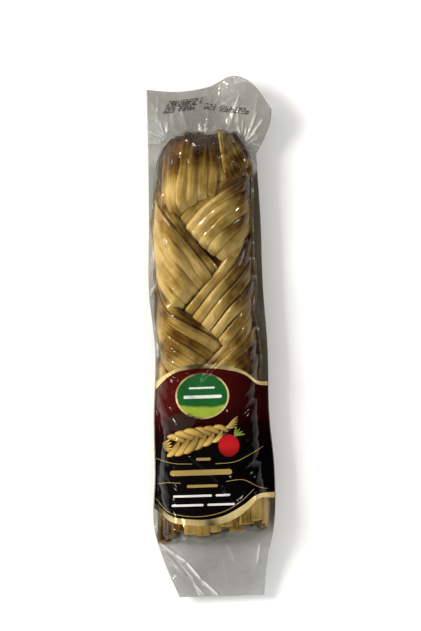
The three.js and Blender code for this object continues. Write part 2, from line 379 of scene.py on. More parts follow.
def sweepString(points, skin, halfWidth, halfDepth, square=3.4, sides=18):
    # a flattened tube along a line; skin says which way its flat back faces
    tangent = normalised(np.gradient(points, axis=0))
    skin = normalised(skin - (skin * tangent).sum(-1, keepdims=True) * tangent)
    wide = np.cross(tangent, skin)
    turn = np.arange(sides) * 2 * np.pi / sides
    c, s = np.cos(turn), np.sin(turn)
    a = np.sign(c) * np.abs(c) ** (2 / square)
    b = np.sign(s) * np.abs(s) ** (2 / square)
    rings = (points[:, None, :] + wide[:, None, :] * (a[None, :, None] * halfWidth[:, None, None])
             + skin[:, None, :] * (b[None, :, None] * halfDepth[:, None, None]))
    return rings, turn, np.abs(a)


smokeAndShade = dict(
    # the right term browns the plait's right side: partly the smoking, partly painted shade on the side away
    # from the light
    base=0.05, left=0.2, right=0.55, head=0.46, crown=0.42, firstString=0.1, wander=0.17, tone=0.11,
    # darker and paler places: x, y, half width, half length, how much darker
    stains=[(-19, 63, 7, 10, 0.3), (-12, 52, 6, 7, 0.35), (-5, 42, 4, 6, 0.3), (-26, 18, 7, 6, 0.6),
            (-17, 11, 8, 4, 0.5), (-7, 5, 6, 3, 0.35), (-18, -6, 12, 10, 0.22), (18, -8, 9, 12, 0.3),
            (17, 79, 8, 6, 0.3), (21, 22, 5, 16, 0.15), (2, 30, 5, 6, 0.2), (6, 9, 5, 6, 0.15),
            (-14, 36, 8, 8, -0.2), (-22, 100, 7, 8, 0.15), (4, 96, 3, 10, 0.12), (15, 100, 9, 12, -0.15),
            (-22, -105, 7, 7, 0.6), (-14, -12, 10, 8, 0.15), (0, -18, 9, 6, 0.15),
            (-8, 86, 12, 12, 0.36), (-1, 106, 18, 6, 0.15), (17, 78, 9, 7, 0.25), (19, 22, 6, 12, 0.15),
            (-19, -3, 10, 11, 0.42), (-21, 15.5, 9, 3, -0.2), (9, 57, 9, 9, 0.14), (6, 22, 9, 10, 0.1),
            (-14, 38, 10, 12, -0.1), (19, 24, 7, 14, 0.25), (-26, 62, 5, 8, -0.15), (18, 78, 9, 9, 0.14),
            (4, -104, 24, 7, 0.3), (-23, -104, 8, 8, 0.05), (-2, 107, 16, 5, 0.15), (18, 102, 8, 8, 0.12)],
)


def stringSmokeAndShade(share, points, seed):
    # how brown a string is along its length, from the smoking, with painted shade on the plait's right side
    x, y = points.T[:2]
    brown = smokeAndShade["base"] + smokeAndShade["left"] * smoothStep(-x, 13, 27)
    # painted shade: the right side is darkened beyond its smoky browning, away from the light
    brown = brown + smokeAndShade["right"] * smoothStep(x, 9, 25) * smoothStep(y, -96, -80)
    brown = brown + smokeAndShade["head"] * smoothStep(y + 3 * np.sin(x / 4), 82, 100)
    brown = brown + smokeAndShade["crown"] * smoothStep(y + 2 * np.sin(x / 2.5), 99, 110)
    brown = brown + smokeAndShade["wander"] * waves(y, 34, seed, 5)
    brown = brown + smokeAndShade["firstString"] * smoothStep(-share, 0.5, 1)
    for sx, sy, wide, tall, much in smokeAndShade["stains"]:
        brown = brown + much * np.exp(-((x - sx) / wide) ** 2 - ((y - sy) / tall) ** 2)
    return np.clip(brown, 0, 1.1)


def buildStrand(strand, material):
    allPoints, allFaces, allUvs = [], [], []
    smokeAndShadeMarks, toneMarks, grooveMarks = [], [], []
    count = 0
    top = plait["capStart"] + plait["capLength"] - 0.4
    for i in range(plait["strings"]):
        seed = 100 * strand + i
        own = np.random.default_rng(seed)
        share = 2 * i / (plait["strings"] - 1) - 1
        cut = plait["cut"] + plait["cutScatter"] * math.sin(5 * i + 2 * strand)
        y = np.arange(top + plait["strandHalf"], cut - plait["strandHalf"], -0.9)
        offset = share * plait["strandHalf"] + 0.45 * waves(y, 46, seed + 11)
        lift = 0.4 * waves(y, 38, seed + 23) + own.uniform(-0.25, 0.25)
        nod = own.uniform(*plait["nod"])
        points, skin = stringLine(strand, offset, y, lift, nod)
        keep = (points[:, 1] < top + nod) & (points[:, 1] > cut + plait["cutSlope"] * points[:, 0])
        points, skin = smoothRows(points[keep], 3), smoothRows(skin[keep], 3)
        fat = own.uniform(0.93, 1.12) * (1 + 0.07 * waves(points[:, 1], 30, seed + 5))
        fat = fat * (1 + plait["tailFat"] * smoothStep(-points[:, 1], 84, 100))
        thick = own.uniform(0.92, 1.08) * (1 + 0.06 * waves(points[:, 1], 26, seed + 7))
        ends = np.minimum(np.arange(len(points)), np.arange(len(points))[::-1])
        close = np.sqrt(1 - (1 - np.clip(ends / 2.0, 0, 1)) ** 2) * 0.25 + 0.75
        close[[0, -1]] = 0.02
        rings, turn, groove = sweepString(points, skin, plait["stringHalf"] * fat * close,
                                          plait["stringDepth"] * thick * close)
        rings[..., 2] = np.maximum(rings[..., 2], plait["under"])
        n, sides = rings.shape[:2]
        run = np.concatenate([[0], np.cumsum(np.linalg.norm(np.diff(points, axis=0), axis=1))])
        brownAndShade = stringSmokeAndShade(share, points, seed + 31)
        tone = own.uniform(-1, 1)
        allFaces += tubeFaces(count + np.arange(n * sides).reshape(n, sides))
        allPoints.append(rings.reshape(-1, 3))
        around = np.abs(turn - math.pi) * 2.6 / 10 + i * 3 + strand * 40
        uv = np.stack(np.broadcast_arrays(run[:, None] / 10, around[None, :]), -1)
        allUvs.append(uv.reshape(-1, 2))
        smokeAndShadeMarks.append(np.repeat(brownAndShade, sides))
        toneMarks.append(np.full(n * sides, tone))
        grooveMarks.append(np.tile(groove, n))
        count += n * sides
    name = ("strand_right", "strand_left", "strand_under")[strand]
    return addMesh(name, np.concatenate(allPoints), allFaces, material, uvs=np.concatenate(allUvs),
                   marks={"smokeAndShade": np.concatenate(smokeAndShadeMarks), "tone": np.concatenate(toneMarks),
                          "groove": np.concatenate(grooveMarks)})


cheeseLook = dict(
    pale=(0.55, 0.40, 0.145), straw=(0.40, 0.27, 0.07), golden=(0.225, 0.13, 0.024),
    brown=(0.10, 0.04, 0.005), dark=(0.036, 0.012, 0.002),
    # the strings' side edges darken into the grooves between them, as painted shade
    streak=0.9, blotch=1.3, speck=0.4, grooveShade=0.5, paleRough=0.5, darkRough=0.4, bump=0.4, shine=0.05,
)


def cheeseMaterial():
    material, tree, out = startMaterial("Smoked cheese")
    look = cheeseLook
    fibre = addGroup(tree, fibres, Across=14.0, Along=0.45)
    # painted shade: each string's side edges are darkened where they meet the next string
    grooveShade = addRange(tree, readMark(tree, "groove"), low=0.9, last=look["grooveShade"])
    brownAndShade = readMark(tree, "smokeAndShade")
    for mask in ("Streak", "Blotch"):
        swing = addMath(tree, "SUBTRACT", fibre.outputs[mask], 0.5)
        brownAndShade = addMath(tree, "ADD", brownAndShade, addMath(tree, "MULTIPLY", swing, look[mask.lower()]))
    brownAndShade = addMath(tree, "ADD", brownAndShade, addMath(tree, "MULTIPLY", readMark(tree, "tone"), smokeAndShade["tone"]))
    brownAndShade = addMath(tree, "ADD", brownAndShade, grooveShade)
    specks = addMath(tree, "MULTIPLY", fibre.outputs["Speck"], look["speck"])
    brownAndShade = addMath(tree, "ADD", brownAndShade, specks, clamp=True)
    colour = addRamp(tree, brownAndShade, [(0.0, look["pale"]), (0.25, look["straw"]), (0.5, look["golden"]),
                                     (0.75, look["brown"]), (1.0, look["dark"])])
    rough = addRange(tree, brownAndShade, first=look["paleRough"], last=look["darkRough"])
    bump = addNode(tree, "ShaderNodeBump",
                   {"Height": fibre.outputs["Height"], "Strength": look["bump"], "Distance": 0.0004})
    body = addNode(tree, "ShaderNodeBsdfPrincipled",
                   {"Base Color": colour, "Roughness": rough, "Normal": bump.outputs[0],
                    "Specular IOR Level": look["shine"]})
    tree.links.new(body.outputs[0], out.inputs["Surface"])
    return material


smokedCheese = cheeseMaterial()
strandPieces = [buildStrand(k, smokedCheese) for k in range(plait["strands"])]
print("plait: strands built")

shoulder = dict(
    # short ends tucked over the head's right side: x, y and height along each, half width, smoke
    ends=[([(9.5, 110, 4), (10.6, 104, 8.8), (12.2, 97.5, 11.2), (15.2, 90.5, 11), (19.5, 84, 8)], 3.2, 0.62),
          ([(11.2, 101, 9.6), (12.0, 95, 11.8), (13.2, 88.5, 11.8), (14.8, 84, 9.5)], 2.9, 0.55),
          ([(12.5, 108.5, 4.5), (15.5, 102.5, 8.8), (18.6, 96, 9.6), (21.6, 89.5, 8)], 3.2, 0.55),
          ([(16.5, 106.5, 3), (20, 100.5, 6.2), (23, 93.5, 5.6), (24.4, 87, 3.6)], 2.6, 0.7),
          ([(9.0, 111.6, 1), (9.3, 107.5, 8.4), (9.8, 102, 11.6), (10.0, 97, 11.6)], 1.3, 0.5)],
    thick=1.7, skin=(0.15, 0.0, 1.0),  # half thickness, and the way their flat backs face
)


def buildShoulder():
    points, faces, uvs, smoked, grooves = [], [], [], [], []
    count = 0
    for k, (rows, half, brownAndShade) in enumerate(shoulder["ends"]):
        rows = np.array(rows, float)
        far = np.concatenate([[0], np.cumsum(np.linalg.norm(np.diff(rows, axis=0), axis=1))])
        t = np.linspace(0, far[-1], 40)
        line = np.stack([readCurve(list(zip(far, rows[:, n])), t) for n in range(3)], -1)
        ends = np.minimum(t, t[::-1]) / 2.5
        close = np.sqrt(np.clip(1 - (1 - np.clip(ends, 0.02, 1)) ** 2, 0.01, 1))
        skin = np.tile(shoulder["skin"], (len(t), 1))
        rings, turn, groove = sweepString(line, skin, half * close, shoulder["thick"] * close)
        n, sides = rings.shape[:2]
        faces += tubeFaces(count + np.arange(n * sides).reshape(n, sides))
        points.append(rings.reshape(-1, 3))
        around = np.abs(turn - math.pi)[None, :] * 0.26 + 5 * k
        uvs.append(np.stack(np.broadcast_arrays(t[:, None] / 10, around), -1).reshape(-1, 2))
        smoked.append(np.repeat(brownAndShade + 0.12 * waves(t, 9, k), sides))
        grooves.append(np.tile(groove, n))
        count += n * sides
    return addMesh("shoulder_ends", np.concatenate(points), faces, smokedCheese, uvs=np.concatenate(uvs),
                   marks={"smokeAndShade": np.concatenate(smoked), "tone": np.zeros(count),
                          "groove": np.concatenate(grooves)})


shoulderPiece = buildShoulder()

# the core is dark brown as painted shade down the cracks between strings; its cut end is paler, a cheese
# colour
core = dict(halfWidth=24.0, halfDepth=10.0, top=104, bottom=-107.5, smokeAndShade=0.9, cutSmoke=0.5)


def buildCore():
    # the middle of the plait, glimpsed only down the cracks between strings
    rows, sides = 90, 40
    turn = np.arange(sides) * 2 * np.pi / sides
    v = np.linspace(-1, 1, rows)
    y = mix(core["bottom"], core["top"], (v + 1) / 2)
    rounding = np.maximum(1 - np.abs(v) ** 16, 0.0009) ** 0.5
    c, s = np.cos(turn), np.sin(turn)
    a, b = np.sign(c) * np.abs(c) ** 0.7, np.sign(s) * np.abs(s) ** 0.7
    wide = core["halfWidth"] * (1 - 0.2 * smoothStep(y, 66, 111)) * rounding
    deep = core["halfDepth"] * rounding * (1 - 0.25 * smoothStep(y, 80, 104))
    x = plait["shiftX"] + wide[:, None] * a[None, :]
    z = deep[:, None] * b[None, :] + 0.4 * np.sin(y / 3)[:, None] * np.sin(3 * turn)[None, :]
    points = np.stack([x, np.broadcast_to(y[:, None], x.shape), z], -1).reshape(-1, 3)
    index = np.arange(rows * sides).reshape(rows, sides)
    faces = tubeFaces(index[:, ::-1])
    uvs = np.stack(np.broadcast_arrays(y[:, None] / 10, turn[None, :] * 3), -1).reshape(-1, 2)
    return addMesh("plait_core", points, faces, smokedCheese, uvs=uvs,
                   marks={"smokeAndShade": mix(core["smokeAndShade"], core["cutSmoke"], smoothStep(-points[:, 1], 94, 102)),
                          "tone": np.zeros(len(points)),
                          "groove": np.zeros(len(points))})


corePiece = buildCore()

film = dict(
    # a field of heights over the plait, step millimetres apart, cast and then pulled taut
    castHalf=31, castFrom=40, none=-30.0, softness=2.2, rim=0.12,
    step=0.4, gap=0.1, slope=2.4, reach=11.0, bridge=4, bridging=0.45, printBridge=9,
    columns=150, bodyRows=380, headerRows=64, tailRows=48,
)
gridX = np.arange(-43, 46, film["step"])
gridY = np.arange(-149, 149, film["step"])


def castPlait(up):
    # how high the cheese stands over each place, seen from above or from below
    points, faces = [], []
    for piece in strandPieces + [shoulderPiece, corePiece]:
        base = len(points)
        coords = np.empty(len(piece.data.vertices) * 3)
        piece.data.vertices.foreach_get("co", coords)
        coords = coords.reshape(-1, 3) * 1000 - (shiftX, shiftY, pouch["rest"])
        points += coords.tolist()
        faces += [[base + v for v in f.vertices] for f in piece.data.polygons]
    tree = BVHTree.FromPolygons(points, faces)
    way = Vector((0, 0, -1 if up else 1))
    height = np.full((len(gridY), len(gridX)), film["none"])
    for j, y in enumerate(gridY):
        if not plait["cut"] - 5 < y < plait["capStart"] + plait["capLength"] + 2:
            continue
        for i, x in enumerate(gridX):
            if abs(x) < film["castHalf"]:
                hit = tree.ray_cast(Vector((x, y, film["castFrom"] if up else -film["castFrom"])), way)[0]
                if hit is not None:
                    height[j, i] = hit.z if up else -hit.z
    return height


def neighbours(height):
    # the field moved one cell each way, and how many cells that is
    pad = np.pad(height, 1, mode="edge")
    h, w = height.shape
    for dy in (-1, 0, 1):
        for dx in (-1, 0, 1):
            if dx or dy:
                yield pad[1 + dy:1 + dy + h, 1 + dx:1 + dx + w], math.hypot(dx, dy)


def tauten(height, slope, reach):
    # film falls away from what holds it up no steeper than slope
    for _ in range(int(reach / film["step"])):
        best = height.copy()
        for moved, far in neighbours(height):
            np.maximum(best, moved - slope * film["step"] * far, out=best)
        height = best
    return height


def bridgeGaps(height, times):
    # film spans the narrow grooves
    closed = height
    for pick in (np.maximum, np.minimum):
        for _ in range(times):
            best = closed.copy()
            for moved, far in neighbours(closed):
                if far == 1:
                    pick(best, moved, out=best)
            closed = best
    return closed


def blur(height, times):
    for _ in range(times):
        total = height * 4
        for moved, far in neighbours(height):
            total = total + moved * (2 if far == 1 else 1)
        height = total / 16
    return height


creases = dict(
    # x, y at each end, height of the fold, half width of its foot
    body=[(-26, 88.3, -23, 74.5, 0.9, 0.5), (-23, 74.5, -25.3, 55.3, 0.7, 0.45),
          (-25.3, 55.3, -21.3, 45.7, 0.6, 0.45), (-21.3, 45.7, -27.2, 31.9, 0.8, 0.5),
          (-27.2, 31.9, -31.7, 21.7, 1.0, 0.6), (25.6, 63, 25.8, 14, 0.5, 0.45),
          (-24, 50, -18, 43, 0.6, 0.5), (27, 1, 24, 6, 0.8, 0.6), (-25, -52, -27, -80, 0.5, 0.7),
          (-11, 59, -5.5, 66, 0.45, 0.4), (-5, 61, -3, 64, 0.4, 0.35), (-27, 82, -23, 79, 0.7, 0.5),
          (-20.5, 74.5, -18.6, 68, 0.5, 0.4), (1.5, 12.4, 4.2, 0.3, 0.5, 0.4), (-22, 17, -19, 15, 0.6, 0.5),
          (-12, 18, -8, 17, 0.5, 0.4), (26.5, 44, 26.5, 3, 0.5, 0.45), (0, 81, 3, 92, 0.4, 0.35)],
    shoulders=[(-20.5, 108.6, -30, 113, 0.9, 0.7), (-20.5, 108.6, -28, 107, 0.8, 0.6),
               (-20, 109, -26, 120, 0.7, 0.7), (23, 105, 33, 117, 0.9, 0.7), (23, 105, 30, 122, 0.8, 0.7),
               (23, 104, 31, 108, 0.8, 0.6), (14, 113, 20, 130, 0.5, 0.9), (-8, 113, -12, 127, 0.4, 1.0),
               (3, 114, 3, 126, 0.35, 1.0)],
    header=[(20, 132, 19.5, 114, 0.5, 1.1), (31, 131, 27, 112, 0.4, 1.3), (-24, 134, -26, 104, 0.3, 1.6)],
    tail=[(-30.3, -113, -22.2, -119.6, 1.2, 0.6), (-22.2, -119.6, -16.6, -123.5, 1.4, 0.6),
          (-16.6, -123.5, -8.4, -133.9, 1.5, 0.6), (-8.4, -133.9, 0.6, -142.7, 1.4, 0.6),
          (-27.2, -118, -16.8, -130.6, 1.2, 0.6), (-16.8, -130.6, -7, -142.7, 1.2, 0.6),
          (-20, -124, -12, -134, 0.8, 0.5), (24, -113, 22, -126, 0.8, 0.8), (6, -113, 10, -124, 0.5, 0.9)],
)


fans = dict(
    # creases that spread from the head's shoulders: x, y, first and last bearing in degrees, how many
    shoulders=[(-19, 106, 98, 178, 9), (20, 104, -8, 84, 10), (0, 106, 75, 105, 4)],
    far=14, high=1.0, foot=0.45,
)


def spreadFans():
    own = np.random.default_rng(21)
    rows = []
    for x, y, first, last, many in fans["shoulders"]:
        for k in range(many):
            way = math.radians(mix(first, last, (k + own.uniform(0.1, 0.9)) / many))
            near, far = own.uniform(3.5, 6.5), own.uniform(9, fans["far"])
            bend = way + own.uniform(-0.25, 0.25)
            rows.append((x + near * math.cos(way), y + near * math.sin(way), x + far * math.cos(bend),
                         y + far * math.sin(bend), fans["high"] * own.uniform(0.5, 1.2), fans["foot"]))
    return rows


creases["fans"] = spreadFans()


def creaseHeight(x, y):
    total = np.zeros_like(x)
    for group in creases.values():
        for x1, y1, x2, y2, high, foot in group:
            dx, dy = x2 - x1, y2 - y1
            t = np.clip(((x - x1) * dx + (y - y1) * dy) / (dx * dx + dy * dy), 0, 1)
            far = np.hypot(x - x1 - t * dx, y - y1 - t * dy)
            fade = np.sqrt(np.clip(1 - (2 * t - 1) ** 4, 0, 1)) * 0.8 + 0.2
            total = np.maximum(total, high * fade * np.exp(-far / foot))
    return total


def filmField(up):
    cast = castPlait(up)
    taut = tauten(cast + film["gap"], film["slope"], film["reach"])
    bridged = blur(mix(taut, bridgeGaps(taut, film["bridge"]), film["bridging"]), 2)
    printed = blur(bridgeGaps(taut, film["printBridge"]), 10) + 0.15
    underPrint = smoothStep(-gridY, 18, 26) * smoothStep(gridY, -103, -97)
    bridged = mix(bridged, printed, underPrint[:, None])
    covered = np.where(cast > film["none"] + 10, 1.0, 0.0)
    return np.maximum(bridged, cast + 0.06), blur(covered, 3)


topField, coverField = filmField(True)
backField = filmField(False)[0]
besideField = blur(coverField, 14)
print("film: laid over the plait")


def readField(field, x, y):
    fx = np.clip((np.asarray(x, float) - gridX[0]) / film["step"], 0, len(gridX) - 1.001)
    fy = np.clip((np.asarray(y, float) - gridY[0]) / film["step"], 0, len(gridY) - 1.001)
    i, j = fx.astype(int), fy.astype(int)
    u, v = fx - i, fy - j
    return ((field[j, i] * (1 - u) + field[j, i + 1] * u) * (1 - v)
            + (field[j + 1, i] * (1 - u) + field[j + 1, i + 1] * u) * v)


def flapMark(y):
    # 1 on the header and the tail, 0 along the plait
    return np.clip((y - 106) / 12, 0, 1) + np.clip((-112 - y) / 8, 0, 1)


def ripple(x, y):
    # slack in the flaps and a slight puckering everywhere
    flap = flapMark(y)
    wide = 0.5 * np.sin(x / 6.1 + y / 15) + 0.35 * np.sin(x / 3.9 - y / 12 + 1)
    wide = wide + 0.3 * np.sin(y / 5.7 + x / 16)
    fold = 1 - np.abs(2 * cloudNoise(x + y * 0.3, y, 7.5, 5) - 1)
    fine = 1 - np.abs(2 * cloudNoise(x, y - x * 0.2, 3.2, 6) - 1)
    return wide * 0.3 * flap + (0.1 + 0.1 * flap) * fold ** 5 + 0.05 * fine ** 4


def softHigher(low, high):
    # the higher of two surfaces, with a rounded corner where they meet
    return low + np.logaddexp(0, (high - low) * film["softness"]) / film["softness"]


def filmTop(x, y):
    level = softHigher(seamHeight(x, y) + pouch["seal"], readField(topField, x, y))
    return level + creaseHeight(x, y) + ripple(x, y)


def filmBack(x, y):
    level = softHigher(pouch["seal"] - seamHeight(x, y), readField(backField, x, y))
    follow = creaseHeight(x, y) + ripple(x, y)
    return np.maximum(-level + follow * flapMark(y), -pouch["rest"])


hazeAndShade = dict(
    # how milky each part of the film looks, with painted shade added on the right fin, on the header's right
    # and beside the cheese, where it is partly oily too
    # the tail term thins the tail's milk, which goes with its paler tint as painted light
    flap=0.52, tail=-0.07, rightHeaderShade=0.2, onPlait=0.0, crease=0.25, rightFinShade=0.4, besideOilAndShade=0.75, clearFoot=0.6,
)


def tailMark(y):
    return smoothStep(-y, 110, 118)


def finShadeMark(x, y):
    # painted shade: the right side of the pouch is darkened, on the side away from the light
    body = smoothStep(y, -112, -100) * smoothStep(-y, -96, -84)
    return body * smoothStep(x, 20, 26)


def hazeAndShadeMark(x, y):
    # almost clear where the film is wet out on the cheese
    onPlait = smoothStep(readField(coverField, x, y), 0.02, 0.3)
    atFoot = smoothStep(readField(besideField, x, y), 0.03, 0.25) * smoothStep(-y, 101, 106)
    onPlait = np.maximum(onPlait, hazeAndShade["clearFoot"] * atFoot)
    # the flaps' milk is partly the film's own and partly painted shade of the ground seen through them;
    # creases add milk, as painted highlights
    milk = hazeAndShade["flap"] * (0.8 + 0.5 * cloudNoise(x, y, 11, 9)) + hazeAndShade["crease"] * creaseHeight(x, y)
    # painted shade: the right fin gets more milk so that its dark tint shows
    milk = milk + hazeAndShade["rightFinShade"] * finShadeMark(x, y) + hazeAndShade["tail"] * tailMark(y)
    # painted shade: the header's right half gets more grey milk, on the side away from the light
    milk = milk + hazeAndShade["rightHeaderShade"] * smoothStep(x, 0, 30) * smoothStep(y, 100, 110)
    return mix(milk, hazeAndShade["onPlait"], onPlait)


def foldHighlightMark(x, y, face):
    # sharp folds are painted white as highlights, on the front web only
    sharp = smoothStep(creaseHeight(x, y), 0.35, 1.0) * (0.55 + 0.45 * tailMark(y))
    return sharp * (1 - 0.35 * smoothStep(readField(coverField, x, y), 0.05, 0.6)) * (face > 0)


def shadeMark(x, y):
    # the narrow gap beside the cheese is tinted an oily brown too: partly oily film, partly painted shade of
    # the cheese's side
    beside = smoothStep(readField(besideField, x, y), 0.02, 0.3) * smoothStep(y, -108, -100)
    return np.maximum(finShadeMark(x, y), hazeAndShade["besideOilAndShade"] * beside)


def buildFilm(material):
    rows = film["tailRows"] + film["bodyRows"] + film["headerRows"]
    along = np.concatenate([np.linspace(-1, 0, film["tailRows"], endpoint=False),
                            np.linspace(0, 1, film["bodyRows"], endpoint=False),
                            np.linspace(1, 2, film["headerRows"] + 1)])
    across = np.linspace(0, 1, film["columns"] + 1)
    across = across - 0.035 * np.sin(2 * np.pi * across)
    points, faces, milk, shade, tail, fold = [], [], [], [], [], []
    webs = []
    for step, face in ((1, 1), (2, -1)):
        x, y = outline(across[None, ::step], along[::step, None])
        z = filmTop(x, y) if face > 0 else filmBack(x, y)
        rim = np.zeros(x.shape, bool)
        rim[[0, -1], :] = True
        rim[:, [0, -1]] = True
        mid = seamHeight(x, y) + creaseHeight(x, y) + ripple(x, y)
        z = np.where(rim, mid + face * film["rim"], z)
        if face > 0:
            z = np.maximum(z, mid - 8)
        web = np.arange(x.size).reshape(x.shape) + sum(len(p) for p in points)
        webs.append(web)
        points.append(np.stack([x, y, z], -1).reshape(-1, 3))
        milk.append(hazeAndShadeMark(x, y).ravel())
        shade.append(shadeMark(x, y).ravel())
        tail.append(tailMark(y).ravel())
        fold.append(foldHighlightMark(x, y, face).ravel())
        faces += gridFaces(web)[:, ::face].tolist()
    # the front's finer edge is stitched to the back's, two points to one
    top, back = webs
    for fine, coarse in ((top[0], back[0]), (top[:, -1], back[:, -1]), (top[-1, ::-1], back[-1, ::-1]),
                         (top[::-1, 0], back[::-1, 0])):
        for k in range(len(coarse) - 1):
            a, m, b = fine[2 * k], fine[2 * k + 1], fine[2 * k + 2]
            faces += [(m, a, coarse[k]), (b, m, coarse[k]), (b, coarse[k], coarse[k + 1])]
    piece = addMesh("pouch_film", np.concatenate(points), faces, material,
                    marks={"hazeAndShade": np.concatenate(milk), "shade": np.concatenate(shade),
                           "tail": np.concatenate(tail), "fold": np.concatenate(fold)})
    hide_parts("sealed_pouch")
    return piece


filmLook = dict(
    # the fold colour is the white of painted highlights on sharp folds
    clear=(0.98, 0.98, 0.97, 1), gloss=(1, 0.96, 0.88, 1), fold=(0.8, 0.8, 0.77, 1),
    # the flaps' milky colour stands partly for painted shade of the ground beneath them
    greyMilkAndShade=(0.245, 0.245, 0.225, 1), tail=(0.38, 0.38, 0.355, 1), yellowed=(0.25, 0.24, 0.19, 1),
    # the dark brown tint of the painted shade on the right fin and beside the cheese
    oilAndShadeTint=(0.07, 0.052, 0.028, 1),
    milkRough=0.3, glossRough=0.07, bend=1.36, bump=0.22, foldHighlightMilk=0.35,
)


def filmMaterial():
    material, tree, out = startMaterial("Clear film")
    look = filmLook
    crease = addGroup(tree, crinkle, Scale=170.0, Stretch=0.6)
    cloud = addRange(tree, crease.outputs["Cloud"], 0.3, 0.7, 0.75, 1.25)
    milk = addMath(tree, "MULTIPLY", readMark(tree, "hazeAndShade"), cloud)
    # sharp folds get extra milk and a white tint: painted highlights along them
    fold = readMark(tree, "fold")
    milk = addMath(tree, "ADD", milk, addMath(tree, "MULTIPLY", fold, look["foldHighlightMilk"]), clamp=True)
    tint = addMixColor(tree, crease.outputs["Cloud"], look["greyMilkAndShade"], look["yellowed"])
    # painted light: the tail's milk is paler, lifting the shade the film casts under it
    tint = addMixColor(tree, readMark(tree, "tail"), tint, look["tail"])
    # the shade mark tints the film dark brown: painted shade on the right fin, and oily film with painted
    # shade beside the cheese
    tint = addMixColor(tree, readMark(tree, "shade"), tint, look["oilAndShadeTint"])
    tint = addMixColor(tree, fold, tint, look["fold"])
    bump = addNode(tree, "ShaderNodeBump",
                   {"Height": crease.outputs["Height"], "Strength": look["bump"], "Distance": 0.0005})
    clear = addNode(tree, "ShaderNodeBsdfTransparent", {"Color": look["clear"]})
    milky = addNode(tree, "ShaderNodeBsdfPrincipled",
                    {"Base Color": tint, "Roughness": look["milkRough"], "Normal": bump.outputs[0]})
    veil = addNode(tree, "ShaderNodeMixShader", {0: milk, 1: clear.outputs[0], 2: milky.outputs[0]})
    gloss = addNode(tree, "ShaderNodeBsdfGlossy",
                    {"Color": look["gloss"], "Roughness": look["glossRough"], "Normal": bump.outputs[0]})
    glance = addNode(tree, "ShaderNodeFresnel", {"IOR": look["bend"], "Normal": bump.outputs[0]})
    shine = addNode(tree, "ShaderNodeMixShader",
                    {0: glance.outputs[0], 1: veil.outputs[0], 2: gloss.outputs[0]})
    tree.links.new(shine.outputs[0], out.inputs["Surface"])
    return material


filmPiece = buildFilm(filmMaterial())
print("film: pouch built")


def drape(name, grids, material, lift):
    # patches of ink that lie on the pouch: each is a pair of grids of x and y
    points, faces, uvs = [], [], []
    count = 0
    for x, y in grids:
        points.append(np.stack([x, y, filmTop(x, y) + lift], -1).reshape(-1, 3))
        v, u = np.meshgrid(np.linspace(0, 1, x.shape[0]), np.linspace(0, 1, x.shape[1]), indexing="ij")
        uvs.append(np.stack([u, v], -1).reshape(-1, 2))
        faces += gridFaces(count + np.arange(x.size).reshape(x.shape)).tolist()
        count += x.size
    addMesh(name, np.concatenate(points), faces, material, uvs=np.concatenate(uvs))


def between(low, high, columns, rows, inset=0.5):
    # a grid across the whole pouch between two curves of (x, y)
    u = np.linspace(0, 1, columns)[None, :]
    v = np.linspace(0, 1, rows)[:, None]
    x = mix(-31.0, 31.0, u) + 0 * v
    for _ in range(4):
        y = mix(readCurve(low, x), readCurve(high, x), v)
        x = mix(readCurve(pouch["left"], y) + inset, readCurve(pouch["right"], y) - inset, u)
    return x, y


def tilted(x, y, across, up, tilt):
    c, s = math.cos(math.radians(tilt)), math.sin(math.radians(tilt))
    return x + across * c - up * s, y + across * s + up * c


def disc(x, y, wide, tall, tilt=0.0, cells=14):
    # an oval patch on a square grid, so it has no pinched middle
    a, b = np.meshgrid(np.linspace(-1, 1, cells), np.linspace(-1, 1, cells))
    return tilted(x, y, a * np.sqrt(1 - b * b / 2) * wide, b * np.sqrt(1 - a * a / 2) * tall, tilt)


def leaf(x, y, long, wide, tilt, bend=0.0, cells=(6, 14)):
    # a blade with blunt tips
    b, a = np.meshgrid(np.linspace(-1, 1, cells[0]), np.linspace(-1, 1, cells[1]), indexing="ij")
    return tilted(x, y, a * long, b * wide * np.sqrt(1.02 - a * a) + bend * (1 - a * a), tilt)


def ring(x, y, wide, tall, thick, cells=90):
    # the rim of an oval
    turn = np.linspace(0, 2 * np.pi, cells)[None, :]
    grow = np.array([0.0, 0.5, 1.0])[:, None] * thick
    return x + (wide + grow) * np.cos(turn), y + (tall + grow) * np.sin(turn)


def stripe(points, width, steps=40):
    # a line of even width through a few points
    rows = np.array(points, float)
    far = np.concatenate([[0], np.cumsum(np.hypot(*np.diff(rows, axis=0).T))])
    t = np.linspace(0, far[-1], steps)
    x, y = [readCurve(list(zip(far, rows[:, k])), t) for k in range(2)]
    nx, ny = -np.gradient(y), np.gradient(x)
    size = np.hypot(nx, ny)
    side = np.array([-0.5, 0, 0.5])[:, None] * width
    return x + nx / size * side, y + ny / size * side


def bars(left, right, y, tall, words):
    # a plain round-ended bar for each word of a line
    share = (right - left) / (sum(words) + 0.8 * (len(words) - 1))
    grids = []
    for many in words:
        a, b = np.meshgrid(np.linspace(-1, 1, 6 * many + 7), np.linspace(-1, 1, 9))
        half = many * share / 2
        reach = half - tall / 2 + tall / 2 * np.sqrt(1.02 - b * b)
        grids.append((left + half + a * reach, y + b * tall / 2))
        left += (many + 0.8) * share
    return grids


